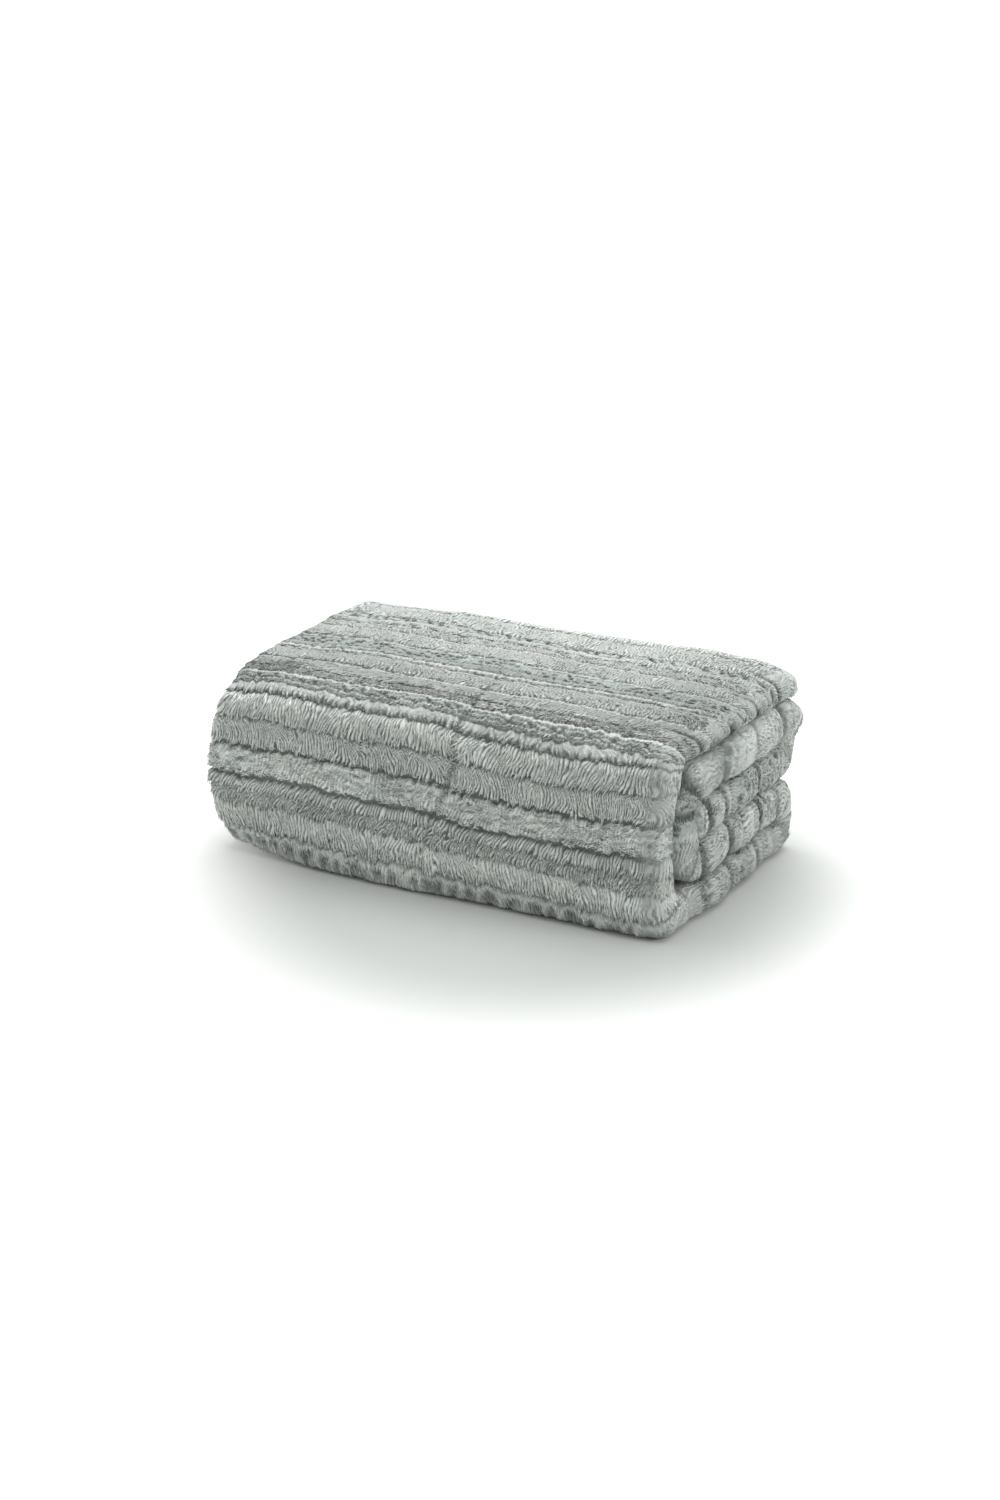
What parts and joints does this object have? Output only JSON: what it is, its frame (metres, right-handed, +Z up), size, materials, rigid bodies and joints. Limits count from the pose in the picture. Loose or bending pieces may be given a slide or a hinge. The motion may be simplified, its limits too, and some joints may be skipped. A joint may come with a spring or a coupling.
{
  "type": "folded throw blanket",
  "caption": "Plush throw blanket with a carved, ribbed face, folded in three and stacked into a compact rectangular block.",
  "frame": {"origin": "on the surface it lies on, under the middle of the folded block", "axes": "+X along the block, towards the end where the wide letter fold shows; +Y towards the back, where the free hem is; +Z up"},
  "size_m": [0.5126, 0.2744, 0.1809],
  "materials": {
    "plush": "carved short faux fur, ribbed, soft sheen, grey with a faint sage cast",
    "lining": "smooth short-pile fleece",
    "thread": "spun polyester sewing thread",
    "label_tape": "blank satin woven tape"
  },
  "bodies": {
    "throw": {"face_panel": "plush", "lining_panel": "lining", "perimeter_seam": "thread"},
    "label": {"care_label": "label_tape"}
  },
  "joints": [
    {"name": "label_flip", "type": "hinge", "parent": "throw", "child": "label", "pos_m": [-0.1515, 0.1336, 0.17215], "axis": [1, 0, 0], "range_deg": [0, 180]}
  ]
}
